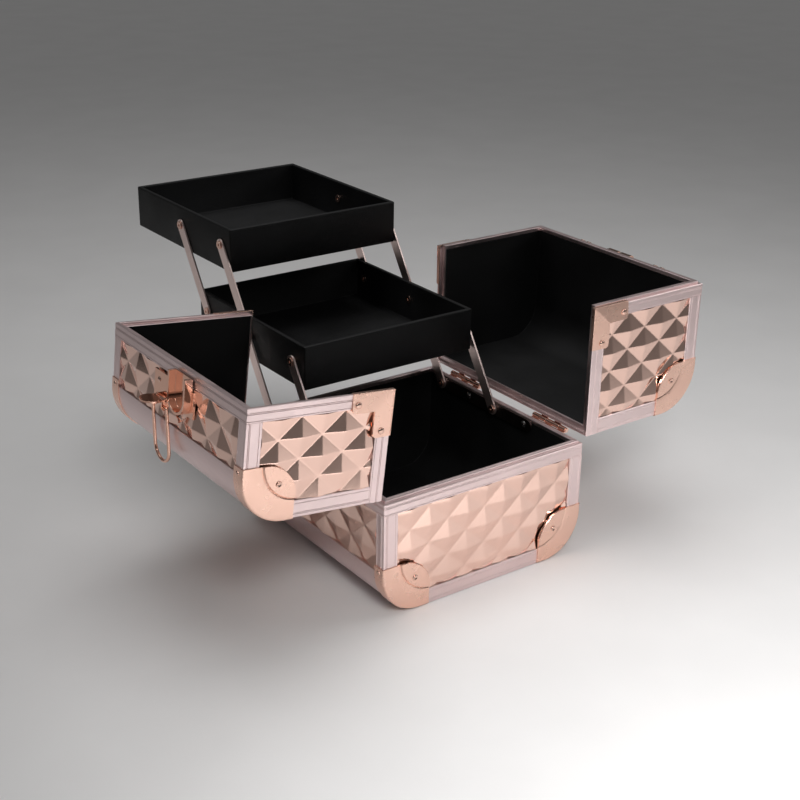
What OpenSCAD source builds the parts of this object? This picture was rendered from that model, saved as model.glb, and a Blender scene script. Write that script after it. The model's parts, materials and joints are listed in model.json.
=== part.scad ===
// Makeup train case: a base box, two hinged lid halves, and two trays on folding arms.
// X runs across the two lids, Y along the hinge lines, Z up.
// The origin is the centre of the base's underside.

/* [Case] */
// Width from hinge wall to hinge wall
case_w = 234; // [220:1:250]
// Depth from end face to end face
case_d = 240; // [235:1:260]
// Height of the base box up to its rim
base_h = 117; // [112:1:130]
// Height of both lid halves above the rim
lid_h = 141.5; // [130:0.5:160]
// Width of the left lid half, hinge wall to seam
left_lid_w = 103.3; // [98:0.1:110]
// Radius of the four long rounded edges
corner_r = 43; // [38:1:48]

/* [Walls] */
// Thickness of the board inside each wall
board_t = 4; // [3:0.5:5]
// Thickness of the frame profiles over the board
profile_t = 3.2; // [3:0.1:4]
// Width of the frame profiles on the end faces
profile_w = 15.5; // [13:0.5:18]
// Height of the rim profiles
rim_h = 13.5; // [12:0.5:16]
// Thickness of the lining
lining_t = 1.2; // [0.8:0.1:1.4]

/* [Opening] */
// Angle at which the left lid stands open
left_open = 83.5; // [80:0.5:90]
// Angle at which the right lid stands open
right_open = 90; // [85:0.5:90]
// Distance of the hinge axis outside the hinge wall
hinge_off = 4.5; // [4:0.1:6]

/* [Trays] */
// Width of both trays
tray_w = 200; // [196:0.5:200]
// Depth of both trays
tray_d = 205; // [200:1:210]
// Height of both trays
tray_h = 44; // [40:0.5:44]
// Thickness of the tray walls
tray_wall = 4.5; // [3.5:0.5:6]
// Pivot to pivot length of every arm
arm_len = 95.4; // [95:0.1:96]
// Angle of the raised arms above the horizontal, leaning backward
arm_angle = 57; // [55:1:60]
// Distance between the front and rear pivots
pivot_gap = 84.5; // [80:0.5:86]
// Height of the base pivots
base_pivot_z = 111.2; // [110:0.1:111.5]

/* [Hidden] */
$fn = 64;
e = 0.01;
half_w = case_w / 2;
half_d = case_d / 2;
hinge_x = half_w + hinge_off;
right_lid_w = case_w - left_lid_w - 0.6;
shell_in = profile_t + board_t;            // inset of the board's inner face
room_in = shell_in + lining_t;             // inset of the lining's inner face
rim_cap = 3;                               // the board stops this far below the rim
shoulder = 1.5;                            // the rim's outer shoulder is this far below the closing plane
end_wrap = 12;                             // the end frames reach this far along the side walls
strip_edge = corner_r + 2;                 // the rounded edge strips end here

panel_in = 1.2;                            // the panels lie this far below the frames
cap_t = 1;                                 // corner cap sheet
cap_leg = 51;                              // corner cap reach along both walls
cap_wrap = 13;                             // corner cap reach along Y
cap_rivet = 34;                            // corner cap rivet, from both walls
cap_band = 18.5;                           // straight parts of the cap along both walls
cap_crest = 31;                            // radius of the cap's round crest
end_rivet = 6.5;                           // small rivets on the caps, from the end face
rim_gap = 1.3;                             // the lid rims' shoulders reach this far below the inner lip
bracket_leg = 42;                          // seam corner bracket reach
bracket_w = 17.5;                          // seam corner bracket width

hinge_y = 67;                              // middle of each hinge
hinge_len = 48;
knuckle_r = 2.6;
hinge_pin_r = 1.3;
hinge_run = 0.06;                          // radial running clearance of the pins
knuckle_n = 5;
knuckle_gap = 0.35;
leaf_t = 1.2;

arm_t = 1.8;
arm_w = 12.2;
rivet_r = 2.2;
rivet_run = 0.08;                          // radial running clearance of the arm holes
upper_arm_x = tray_w / 2 + 0.4;            // inner face of the upper arms
lower_arm_x = upper_arm_x + arm_t + 0.4;   // inner face of the lower arms
bar_x = lower_arm_x + arm_t + 0.4;         // inner face of the bracket bars
bar_t = 1.8;
bar_h = 13;
bar_wall_x = half_w - room_in;             // the wall that the bars stand off from
screw_y = [41.3, -46.2];
bar_front = -57;                           // front and rear ends of the bracket bars
bar_rear = 97;
rear_y = 85.7;                             // rear base pivot
front_y = rear_y - pivot_gap;
arm_dy = arm_len * cos(arm_angle);
arm_dz = arm_len * sin(arm_angle);
tray_pivot_up = 25.1;                      // tray pivots above the tray's bottom
low_tray_y = rear_y + arm_dy;              // middle pivot and middle of the lower tray
low_tray_z = base_pivot_z + arm_dz;
top_tray_y = low_tray_y + pivot_gap + arm_dy; // middle of the upper tray
top_tray_z = low_tray_z + arm_dz;

latch_y = 14;                              // middle of the lever and its loop
housing_y = -17;                           // middle of the lock housing
lever_u = 66;                              // lever pivot from the hinge wall
lever_up = 4.5;                            // lever pivot above the lid
loop_u = 61;                               // loop pivot from the hinge wall
loop_up = 6.5;
loop_wire_r = 1.5;
loop_half = 13;                            // middle of the wire from the loop's centre line
loop_len = 40.5;                           // straight part of the loop

handle_x = -5;                             // handle pivot
handle_up = 5.6;
handle_y = 54;                             // middle of each handle bracket
handle_reach = 37;                         // pivot to the middle of the grip

pink = "#cdb6b6";
rose = "#dfae9a";
bright = "#e8c0ac";
dark = "#2a2422";

// ---------- shared geometry ----------

// An end view outline, drawn in X and Z, carried along Y from y0 to y1
module along_y(y0, y1)
  translate([0, y1, 0]) rotate([90, 0, 0]) linear_extrude(y1 - y0) children();

// A plan view outline between two heights
module between_z(z0, z1)
  translate([0, 0, z0]) linear_extrude(z1 - z0) children();

// A plate drawn in Y and Z, between x0 and x1
module between_x(x0, x1)
  translate([x0, 0, 0]) rotate([90, 0, 90]) linear_extrude(x1 - x0) children();

module mirror_x()
  for (s = [0, 1]) mirror([s, 0, 0]) children();

module mirror_y()
  for (s = [0, 1]) mirror([0, s, 0]) children();

// What is left of a square corner at the origin when its edge is rounded
module corner_cut(r)
  difference() {
    translate([-1, -1]) square(r + 1);
    translate([r, r]) circle(r, $fn = 128);
  }

// The base in end view, inset from its outer faces
module base_outline(inset, top)
  difference() {
    translate([-half_w + inset, inset]) square([case_w - 2 * inset, top - inset]);
    for (s = [0, 1]) mirror([s, 0])
      translate([-half_w + inset, inset]) corner_cut(corner_r - inset);
  }

// A lid half in end view: X from its hinge wall, Y up from its rim
module lid_outline(inset, wide, low = 0)
  difference() {
    translate([inset, low]) square([wide - inset, lid_h - inset - low]);
    translate([inset, lid_h - inset]) mirror([0, 1]) corner_cut(corner_r - inset);
  }

// Places a closed lid half, drawn from its hinge wall, on the right or the left hinge, and opens it
module right_lid()
  translate([hinge_x, 0, base_h]) rotate([0, right_open, 0])
    translate([-hinge_off, 0, 0]) mirror([1, 0, 0]) children();

module left_lid()
  translate([-hinge_x, 0, base_h]) rotate([0, -left_open, 0])
    translate([hinge_off, 0, 0]) children();

// A corner cap's face, for a corner at the origin
module cap_face()
  union() {
    square([cap_band, cap_leg]);
    square([cap_leg, cap_band]);
    intersection() {
      translate([cap_band + 2, cap_band + 2]) circle(cap_crest);
      square(cap_leg);
    }
  }

// A dome rivet head on a plate facing +Z
module dome(r, h)
  intersection() {
    ball = (r * r + h * h) / (2 * h);
    translate([0, 0, h - ball]) sphere(ball);
    translate([0, 0, -0.4]) cylinder(r = r, h = h + 1);
  }

module dome_on_end(x, z, y, s) translate([x, s * y, z]) rotate([-s * 90, 0, 0]) dome(3.1, 1.3);

// ---------- base ----------

module base_ring(inset) square([case_w - 2 * inset, case_d - 2 * inset], center = true);

module base_board() color("#3a2c26")
  difference() {
    along_y(-half_d + profile_t, half_d - profile_t) base_outline(profile_t, base_h - rim_cap);
    along_y(-half_d + shell_in, half_d - shell_in) base_outline(shell_in, base_h + 1);
  }

module base_lining() color("#111111")
  difference() {
    along_y(-half_d + shell_in, half_d - shell_in) base_outline(shell_in, base_h - rim_cap);
    along_y(-half_d + room_in, half_d - room_in) base_outline(room_in, base_h + 1);
  }

module base_rim() color(pink)
  difference() {
    union() {
      between_z(base_h - rim_h, base_h - shoulder) base_ring(0);
      between_z(base_h - rim_cap, base_h + 1) base_ring(profile_t);
    }
    between_z(base_h - rim_h - 1, base_h - rim_cap) base_ring(profile_t);
    between_z(base_h - rim_h, base_h + 2) base_ring(room_in);
  }

module base_end_frames() color(pink)
  mirror_y() {
    along_y(half_d - profile_t, half_d) difference() {
      base_outline(0, base_h - rim_h);
      base_outline(profile_w, base_h + 1);
    }
    along_y(half_d - end_wrap, half_d - profile_t) difference() {
      base_outline(0, base_h - rim_h);
      base_outline(profile_t, base_h + 1);
    }
  }

module base_edge_strips() color(pink)
  mirror_x() along_y(-half_d + end_wrap, half_d - end_wrap) intersection() {
    difference() {
      base_outline(0, base_h);
      base_outline(profile_t, base_h);
    }
    translate([half_w - strip_edge, 0]) square(strip_edge);
  }

module base_end_panels() color(bright)
  mirror_y() along_y(half_d - profile_t, half_d - panel_in) base_outline(profile_w, base_h - rim_h);

module base_side_panels() color(bright)
  mirror_x() between_x(half_w - profile_t, half_w - panel_in)
    translate([-half_d + end_wrap, strip_edge]) square([case_d - 2 * end_wrap, base_h - rim_h - strip_edge]);

module base_bottom_panel() color(pink)
  between_z(0, profile_t)
    square([case_w - 2 * strip_edge, case_d - 2 * end_wrap], center = true);

module base_corner_caps() color(rose)
  mirror_x() mirror_y() {
    along_y(half_d, half_d + cap_t) intersection() {
      translate([-half_w, 0]) cap_face();
      base_outline(0, base_h);
    }
    along_y(half_d - cap_wrap, half_d + cap_t) intersection() {
      translate([-half_w - cap_t, 0]) square(cap_leg);
      difference() {
        translate([-cap_t, 0]) union() {
          translate([-half_w + corner_r, 0]) square([1, cap_t]);
          difference() {
            translate([-half_w, 0]) square(cap_leg + cap_t);
            translate([-half_w, 0]) corner_cut(corner_r);
          }
        }
        base_outline(0, base_h);
      }
    }
  }

module base_cap_rivets() color(bright)
  mirror_x() for (s = [-1, 1]) {
    dome_on_end(-half_w + cap_rivet, cap_rivet, half_d + cap_t, s);
    translate([-half_w - cap_t, s * (half_d - end_rivet), cap_leg - 5]) rotate([0, -90, 0]) dome(2.2, 1);
  }

// One hinge leaf with every second knuckle, on a wall that faces -X at x = 0, below the axis at z = 0
module hinge_leaf(first) {
  step = hinge_len / knuckle_n;
  translate([-leaf_t, -hinge_len / 2, -12.5]) cube([leaf_t, hinge_len, 11.2]);
  for (k = [first:2:knuckle_n - 1]) translate([0, -hinge_len / 2 + k * step + knuckle_gap / 2, 0])
    difference() {
      union() {
        translate([-hinge_off, 0, -2.5]) cube([hinge_off, step - knuckle_gap, 1.2]);
        translate([-hinge_off, 0, 0]) rotate([-90, 0, 0]) cylinder(r = knuckle_r, h = step - knuckle_gap);
      }
      translate([-hinge_off, -1, 0]) rotate([-90, 0, 0]) cylinder(r = hinge_pin_r + hinge_run, h = step + 2);
    }
}

module base_hinge_leaves() color(rose)
  mirror_x() for (s = [-1, 1])
    translate([-half_w, s * hinge_y, base_h]) hinge_leaf(0);

module hinge_pins() color(rose)
  mirror_x() for (s = [-1, 1]) translate([-hinge_x, s * hinge_y, base_h]) rotate([-90, 0, 0])
    union() {
      translate([0, 0, -hinge_len / 2 - 0.8]) cylinder(r = hinge_pin_r, h = hinge_len + 1.6);
      for (z = [-hinge_len / 2 - 0.8, hinge_len / 2]) translate([0, 0, z]) cylinder(r = 2, h = 0.8);
    }

module bar_outline()
  difference() {
    union() {
      translate([bar_front + bar_h / 2, -bar_h / 2]) square([bar_rear - bar_front - bar_h, bar_h]);
      translate([bar_front + bar_h / 2, 0]) circle(bar_h / 2);
      translate([bar_rear - bar_h / 2, 0]) circle(bar_h / 2);
    }
    for (y = screw_y) translate([y, 0]) circle(2);
    for (y = [rear_y, front_y]) translate([y, 0]) circle(rivet_r);
  }

module bracket_bars() color(dark)
  mirror_x() translate([0, 0, base_pivot_z]) between_x(bar_x, bar_x + bar_t) bar_outline();

// A screw with a domed head inside the bar, and the sleeve that stands the bar off the wall
module bracket_screws() color("#d8d4d0")
  mirror_x() for (y = screw_y) translate([bar_x, y, base_pivot_z]) rotate([0, 90, 0]) {
    rotate([180, 0, 0]) intersection() {
      translate([0, 0, -3.2]) sphere(4.8);
      cylinder(r = 3.6, h = 2);
    }
    cylinder(r = 2, h = bar_wall_x - bar_x);
    translate([0, 0, bar_t]) cylinder(r = 4, h = bar_wall_x - bar_x - bar_t);
  }

// A semi-tubular rivet along +X: its head ends at x = 0, its tail is at x = far
module tube_rivet(near, far) rotate([0, 90, 0]) difference() {
  union() {
    translate([0, 0, near]) cylinder(r = rivet_r, h = far - near);
    translate([0, 0, near]) cylinder(r = 4.2, h = 1);
    translate([0, 0, far - 1]) cylinder(r = 4.2, h = 1);
  }
  translate([0, 0, near - 1]) cylinder(r = 1.1, h = 1.8);
  translate([0, 0, far - 0.8]) cylinder(r = 1.3, h = 1.8);
}

module bracket_rivets() color(bright)
  mirror_x() for (y = [rear_y, front_y]) translate([0, y, base_pivot_z])
    tube_rivet(lower_arm_x - 1.3, bar_x + bar_t + 1);

// ---------- lid halves, drawn closed from the hinge wall ----------

module lid_board(wide) color("#3a2c26")
  difference() {
    along_y(-half_d + profile_t, half_d - profile_t) lid_outline(profile_t, wide - rim_cap, rim_cap);
    along_y(-half_d + shell_in, half_d - shell_in) lid_outline(shell_in, wide + 1, -1);
  }

module lid_lining(wide) color("#111111")
  difference() {
    along_y(-half_d + shell_in, half_d - shell_in) lid_outline(shell_in, wide - rim_cap, rim_cap);
    along_y(-half_d + room_in, half_d - room_in) lid_outline(room_in, wide + 1, -1);
  }

// The rim profile: a frame round the open bottom and the open seam side
// grow is how far the inner lip stands beyond the outer shoulder at the seam
module lid_rim(wide, grow) color(pink)
  difference() {
    union() {
      along_y(-half_d, half_d) difference() {
        lid_outline(0, wide - (grow < 0 ? 0.3 : shoulder), -rim_gap);
        translate([-1, rim_h]) square([wide + 1 - rim_h, lid_h + 1]);
      }
      along_y(-half_d + profile_t, half_d - profile_t)
        difference() {
          lid_outline(profile_t, wide + grow, rim_gap);
          translate([-1, rim_cap]) square([wide + 1 - rim_cap, lid_h + 1]);
        }
    }
    along_y(-half_d + profile_t, half_d - profile_t)
      lid_outline(profile_t, wide - rim_cap, rim_cap);
    along_y(-half_d + profile_t, half_d - profile_t) translate([-1, -2]) square([2 * wide, 2 + rim_gap]);
    along_y(-half_d + profile_t, half_d - profile_t)
      translate([wide + grow, -2]) square([10, lid_h + 10]);
    along_y(-half_d + room_in, half_d - room_in) lid_outline(room_in, wide + 10, -3);
  }

module lid_end_frames(wide) color(pink)
  mirror_y() {
    along_y(half_d - profile_t, half_d) difference() {
      lid_outline(0, wide - rim_h, rim_h);
      lid_outline(profile_w, wide + 1, -1);
    }
    along_y(half_d - end_wrap, half_d - profile_t) difference() {
      lid_outline(0, wide - rim_h, rim_h);
      lid_outline(profile_t, wide + 1, -1);
    }
  }

module lid_edge_strip(wide) color(pink)
  along_y(-half_d + end_wrap, half_d - end_wrap) intersection() {
    difference() {
      lid_outline(0, wide);
      lid_outline(profile_t, wide + 1, -1);
    }
    translate([0, lid_h - strip_edge]) square(strip_edge);
  }

module lid_end_panels(wide) color(bright)
  mirror_y() along_y(half_d - profile_t, half_d - panel_in) lid_outline(profile_w, wide - rim_h, rim_h);

module lid_wall_panels(wide) color(bright)
  along_y(-half_d + end_wrap, half_d - end_wrap) {
    translate([panel_in, rim_h]) square([profile_t - panel_in, lid_h - strip_edge - rim_h]);
    translate([strip_edge, lid_h - profile_t]) square([wide - rim_h - strip_edge, profile_t - panel_in]);
  }

module lid_corner_caps() color(rose)
  mirror_y() {
    along_y(half_d, half_d + cap_t) intersection() {
      translate([0, lid_h]) mirror([0, 1]) cap_face();
      lid_outline(0, 90);
    }
    along_y(half_d - cap_wrap, half_d + cap_t) intersection() {
      translate([-cap_t, lid_h - cap_leg]) square(cap_leg + cap_t);
      difference() {
        translate([-cap_t, lid_h + cap_t]) mirror([0, 1]) difference() {
          square(90);
          corner_cut(corner_r + cap_t);
        }
        lid_outline(0, 95, -20);
      }
    }
  }

module lid_seam_brackets(wide) color(rose)
  mirror_y() {
    along_y(half_d, half_d + cap_t) difference() {
      translate([wide - bracket_leg, -rim_gap]) square([bracket_leg - 0.3, bracket_leg]);
      translate([wide - bracket_leg - 1, bracket_w]) square([bracket_leg + 1 - bracket_w, bracket_leg]);
    }
    along_y(half_d - profile_t, half_d + cap_t) {
      translate([wide - bracket_leg, -2.1]) square([bracket_leg - 0.3, 0.8]);
      translate([wide - 0.3, -2.1]) square([0.6, bracket_leg]);
    }
  }

module lid_rivets(wide) color(bright) {
  for (s = [-1, 1]) {
    dome_on_end(cap_rivet, lid_h - cap_rivet, half_d + cap_t, s);
    dome_on_end(wide - 36, 10, half_d + cap_t, s);
    dome_on_end(wide - 11, 35, half_d + cap_t, s);
    translate([cap_leg - 5, s * (half_d - end_rivet), lid_h + cap_t]) dome(2.2, 1);
  }
}

module lid_hinge_leaves() color(rose)
  for (s = [-1, 1]) translate([0, s * hinge_y, 0]) mirror([0, 0, 1]) hinge_leaf(1);

module left_board() left_lid() lid_board(left_lid_w);
module left_lining() left_lid() lid_lining(left_lid_w);
module left_rim() left_lid() lid_rim(left_lid_w, -3.2);
module left_end_frames() left_lid() lid_end_frames(left_lid_w);
module left_edge_strip() left_lid() lid_edge_strip(left_lid_w);
module left_end_panels() left_lid() lid_end_panels(left_lid_w);
module left_wall_panels() left_lid() lid_wall_panels(left_lid_w);
module left_corner_caps() left_lid() lid_corner_caps();
module left_seam_brackets() left_lid() lid_seam_brackets(left_lid_w);
module left_rivets() left_lid() lid_rivets(left_lid_w);
module left_hinge_leaves() left_lid() lid_hinge_leaves();

module right_board() right_lid() lid_board(right_lid_w);
module right_lining() right_lid() lid_lining(right_lid_w);
module right_rim() right_lid() lid_rim(right_lid_w, 1);
module right_end_frames() right_lid() lid_end_frames(right_lid_w);
module right_edge_strip() right_lid() lid_edge_strip(right_lid_w);
module right_end_panels() right_lid() lid_end_panels(right_lid_w);
module right_wall_panels() right_lid() lid_wall_panels(right_lid_w);
module right_corner_caps() right_lid() lid_corner_caps();
module right_seam_brackets() right_lid() lid_seam_brackets(right_lid_w);
module right_rivets() right_lid() lid_rivets(right_lid_w);
module right_hinge_leaves() right_lid() lid_hinge_leaves();

// ---------- latch on the left lid ----------

// A cylinder along Y, middle at y, drawn on the closed left lid's top
module across(u, up, y, r, len)
  translate([u, y + len / 2, lid_h + up]) rotate([90, 0, 0]) cylinder(r = r, h = len);

module latch_plate() color(rose) left_lid()
  difference() {
    union() {
      translate([63, -35, lid_h - 1.2]) cube([24, 71, 2.2]);
      for (s = [-1, 1]) translate([0, latch_y + s * 6.75, 0]) {
        translate([60.5, -0.75, lid_h - 1.2]) cube([9, 1.5, 5]);
        across(lever_u, lever_up, 0, 3.2, 1.5);
      }
    }
    across(lever_u, lever_up, latch_y, 1.5, 20);
  }

module latch_pin() color(bright) left_lid() across(lever_u, lever_up, latch_y, 1.5, 21.6);

module latch_rivets() color(bright) left_lid()
  for (y = [latch_y + 13, latch_y - 13]) translate([79, y, lid_h + 1]) dome(2.6, 1.3);

// The U-shaped lock housing, open toward the seam
module housing_outline(r)
  union() {
    circle(r);
    translate([0, -r]) square([20, 2 * r]);
  }

module latch_housing() color(rose) left_lid()
  translate([78.5, housing_y, lid_h + 1]) difference() {
    linear_extrude(7.8) housing_outline(15.5);
    translate([0, 0, 1]) linear_extrude(10) union() {
      circle(13);
      translate([0, -13]) square([30, 26]);
    }
  }

module cheek_outline()
  difference() {
    union() {
      circle(3);
      translate([loop_u - lever_u, loop_up - lever_up]) circle(2.9);
      translate([-5.6, 0]) square([7.6, 5.4]);
    }
    circle(1.5 + rivet_run);
    translate([loop_u - lever_u, loop_up - lever_up]) circle(loop_wire_r + rivet_run);
  }

module latch_lever() color(bright) left_lid() {
  for (s = [-1, 1]) translate([lever_u, latch_y + s * 8.75, lid_h + lever_up])
    along_y(-0.75, 0.75) cheek_outline();
  translate([lever_u + 0.5, latch_y, lid_h + lever_up + 4]) between_x(0, 1.5) union() {
    translate([-9.5, 0]) square([19, 6]);
    intersection() {
      translate([0, 6]) circle(10.8);
      translate([-11, 2]) square([22, 20]);
    }
  }
}

module latch_loop() color(bright) left_lid()
  translate([loop_u, latch_y, lid_h + loop_up]) rotate([0, left_open - 90, 0]) {
    for (s = [-1, 1]) {
      translate([0, s * loop_half, 0]) rotate([0, -90, 0]) cylinder(r = loop_wire_r, h = loop_len);
      translate([0, s * loop_half, 0]) sphere(loop_wire_r);
      translate([0, s * 8, 0]) rotate([-s * 90, 0, 0]) cylinder(r = loop_wire_r, h = loop_half - 8);
    }
    translate([-loop_len, 0, 0]) rotate([0, 0, 90]) rotate_extrude(angle = 180)
      translate([loop_half, 0]) circle(loop_wire_r);
  }

// ---------- catch and handle on the right lid ----------

// Places what is drawn in the closed case's own X, with Z up from the right lid's top
module on_right_top()
  right_lid() translate([half_w, 0, lid_h]) mirror([1, 0, 0]) children();

module catch() color(rose) on_right_top() {
  translate([-12, -16, 0]) cube([17, 35, 1.4]);
  translate([-11, 3.6, 0]) cube([2, 15.4, 8.5]);
  translate([-11, 3.6, 6.5]) cube([5.5, 15.4, 2]);
  translate([-8.5, -16, 5.5]) rotate([-90, 0, 0]) cylinder(r = 3.4, h = 15);
  translate([-11.9, -16, 0]) cube([6.8, 15, 5.5]);
}

module handle_brackets() color(rose) on_right_top()
  for (s = [-1, 1]) translate([handle_x, s * handle_y, 0]) difference() {
    union() {
      translate([-7, -9, 0]) cube([16, 18, 0.8]);
      for (y = [-6, 3.6]) translate([0, y, 0]) {
        translate([-6, 0, 0]) cube([12, 2.4, handle_up]);
        translate([0, 0, handle_up]) rotate([-90, 0, 0]) cylinder(r = 5.4, h = 2.4);
      }
    }
    translate([0, -10, handle_up]) rotate([-90, 0, 0]) cylinder(r = 1.8, h = 20);
  }

module handle_pins() color(bright) on_right_top()
  for (s = [-1, 1]) translate([handle_x, s * handle_y - 6.8, handle_up]) rotate([-90, 0, 0])
    cylinder(r = 1.8, h = 13.6);

// The two side arms and the steel core of the grip, folded flat against the lid
module handle_frame() color(rose) on_right_top()
  translate([handle_x, 0, handle_up]) {
    for (s = [-1, 1]) translate([0, s * handle_y, 0])
      along_y(-3.1, 3.1) difference() {
        union() {
          circle(4.4);
          translate([0, -4.4]) square([handle_reach, 8.8]);
          translate([handle_reach, 0]) circle(4.4);
        }
        circle(1.8 + rivet_run);
      }
    translate([handle_reach, -handle_y, 0]) rotate([-90, 0, 0]) cylinder(r = 3, h = 2 * handle_y);
  }

module handle_grip() color(rose) on_right_top()
  translate([handle_x + handle_reach, -handle_y + 3.1, handle_up + 2]) rotate([-90, 0, 0])
    difference() {
      cylinder(r = 7, h = 2 * handle_y - 6.2);
      translate([0, 2, -1]) cylinder(r = 3, h = 2 * handle_y);
    }

// ---------- trays and arms ----------

// A pair of arms from a lower pivot, raised by the arm angle
module arm_pair(x, y, z) color("#d5bdb8")
  mirror_x() translate([0, y, z]) between_x(x, x + arm_t) rotate(arm_angle) difference() {
    union() {
      translate([0, -arm_w / 2]) square([arm_len, arm_w]);
      circle(arm_w / 2);
      translate([arm_len, 0]) circle(arm_w / 2);
    }
    circle(rivet_r + rivet_run);
    translate([arm_len, 0]) circle(rivet_r + rivet_run);
  }

module lower_rear_arms() arm_pair(lower_arm_x, rear_y, base_pivot_z);
module lower_front_arms() arm_pair(lower_arm_x, front_y, base_pivot_z);
module upper_rear_arms() arm_pair(upper_arm_x, low_tray_y + pivot_gap, low_tray_z);
module upper_front_arms() arm_pair(upper_arm_x, low_tray_y, low_tray_z);

// A tray whose middle pivots are at y and z, with rivet holes at the given offsets
module tray(y, z, holes) color("#161616")
  translate([0, y, z - tray_pivot_up]) difference() {
    translate([-tray_w / 2, -tray_d / 2, 0]) cube([tray_w, tray_d, tray_h]);
    translate([-tray_w / 2 + tray_wall, -tray_d / 2 + tray_wall, 3.5])
      cube([tray_w - 2 * tray_wall, tray_d - 2 * tray_wall, tray_h]);
    for (h = holes) translate([-tray_w, h, tray_pivot_up]) rotate([0, 90, 0])
      cylinder(r = rivet_r, h = 2 * tray_w);
  }

module lower_tray() tray(low_tray_y, low_tray_z, [-pivot_gap, 0, pivot_gap]);
module upper_tray() tray(top_tray_y, top_tray_z, [-pivot_gap, 0]);

// Rivets from inside a tray wall, through it and the arms, with a spacer where an arm stands off
module lower_tray_rivets() color(bright)
  mirror_x() translate([0, low_tray_y, low_tray_z]) {
    inside = tray_w / 2 - tray_wall - 1;
    tube_rivet(inside, lower_arm_x + arm_t + 1.3);
    translate([0, pivot_gap, 0]) tube_rivet(inside, upper_arm_x + arm_t + 1.3);
    translate([0, -pivot_gap, 0]) {
      tube_rivet(inside, lower_arm_x + arm_t + 1.3);
      translate([tray_w / 2, 0, 0]) rotate([0, 90, 0]) difference() {
        cylinder(r = 3.8, h = lower_arm_x - 0.3 - tray_w / 2);
        translate([0, 0, -1]) cylinder(r = rivet_r - e, h = 5);
      }
    }
  }

module upper_tray_rivets() color(bright)
  mirror_x() for (y = [-pivot_gap, 0]) translate([0, top_tray_y + y, top_tray_z])
    tube_rivet(tray_w / 2 - tray_wall - 1, upper_arm_x + arm_t + 1.3);

base_board();
base_lining();
base_end_panels();
base_side_panels();
base_bottom_panel();
base_edge_strips();
base_rim();
base_end_frames();
base_corner_caps();
base_cap_rivets();
base_hinge_leaves();
hinge_pins();
bracket_bars();
bracket_screws();
bracket_rivets();
left_board();
left_lining();
left_end_panels();
left_wall_panels();
left_edge_strip();
left_rim();
left_end_frames();
left_corner_caps();
left_seam_brackets();
left_rivets();
left_hinge_leaves();
latch_plate();
latch_housing();
latch_rivets();
latch_pin();
right_board();
right_lining();
right_end_panels();
right_wall_panels();
right_edge_strip();
right_rim();
right_end_frames();
right_corner_caps();
right_seam_brackets();
right_rivets();
right_hinge_leaves();
catch();
handle_brackets();
handle_pins();
lower_rear_arms();
lower_front_arms();
lower_tray();
lower_tray_rivets();
upper_rear_arms();
upper_front_arms();
upper_tray();
upper_tray_rivets();
latch_lever();
latch_loop();
handle_frame();
handle_grip();
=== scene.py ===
"""Looks of the makeup train case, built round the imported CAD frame.

Lengths in the mesh code are millimetres, and each placement turns them into metres.
A lid half is drawn closed: u from its hinge wall, y along the hinge, z up from its rim.
"""

import json
import math

import bmesh
import bpy
from mathutils import Matrix, Vector


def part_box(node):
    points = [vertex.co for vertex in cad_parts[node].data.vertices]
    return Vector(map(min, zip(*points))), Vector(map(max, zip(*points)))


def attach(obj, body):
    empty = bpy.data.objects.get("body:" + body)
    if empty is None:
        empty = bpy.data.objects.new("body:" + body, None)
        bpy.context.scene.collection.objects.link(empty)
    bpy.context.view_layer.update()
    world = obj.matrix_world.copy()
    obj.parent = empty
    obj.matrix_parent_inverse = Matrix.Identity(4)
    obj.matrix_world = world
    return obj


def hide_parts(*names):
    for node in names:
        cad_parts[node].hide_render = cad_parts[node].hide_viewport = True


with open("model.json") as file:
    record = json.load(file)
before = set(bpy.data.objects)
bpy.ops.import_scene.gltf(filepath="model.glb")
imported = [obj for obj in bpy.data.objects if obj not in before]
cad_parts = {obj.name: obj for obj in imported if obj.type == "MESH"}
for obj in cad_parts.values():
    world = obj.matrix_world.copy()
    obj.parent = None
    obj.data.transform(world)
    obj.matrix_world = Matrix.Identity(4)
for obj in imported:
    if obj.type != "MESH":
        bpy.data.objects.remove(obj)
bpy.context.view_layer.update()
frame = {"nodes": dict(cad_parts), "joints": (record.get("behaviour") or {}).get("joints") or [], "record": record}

MM = 0.001

# ---------- sizes taken from the frame ----------

HALF_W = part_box("base_rim")[1].x / MM
HALF_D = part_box("base_rim")[1].y / MM
BASE_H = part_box("base_rim")[1].z / MM - 1.0
JOINTS = {j["name"]: j for j in frame["joints"]}
HINGE_X = JOINTS["lid_right_hinge"]["pos_m"][0] / MM
HINGE_Z = JOINTS["lid_right_hinge"]["pos_m"][2] / MM
HINGE_OFF = HINGE_X - HALF_W
LID_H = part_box("right_edge_strip")[1].x / MM - HINGE_X
RIGHT_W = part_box("right_rim")[1].z / MM - 1.0 - HINGE_Z - HINGE_OFF
LEFT_W = 2 * HALF_W - RIGHT_W - 0.6
LEFT_OPEN = math.radians(83.5)

CORNER_R = 43.0
PROFILE_T = 3.2
PROFILE_W = 15.5
RIM_H = 13.5
RIM_CAP = 3.0
SHELL_IN = 8.4
END_WRAP = 12.0
STRIP_EDGE = CORNER_R + 2
CAP_LEG = 51.0
CAP_WRAP = 13.0
CAP_RIVET = 34  # rivet in the cap's lens, from both walls
WRAP_RIVET_IN = 6.5  # small rivet on the cap's wrap, from the end face
WRAP_RIVET_UP = CAP_LEG - 5

# The embossed sheet: long and short pitch of its rhombic pyramids, their foot and their height
PITCH_LONG = 43.04
PITCH_SHORT = 37.39
PYRAMID_FOOT = -2.4
PYRAMID_H = 3.3
SHEET_BACK = -3.2

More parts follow.
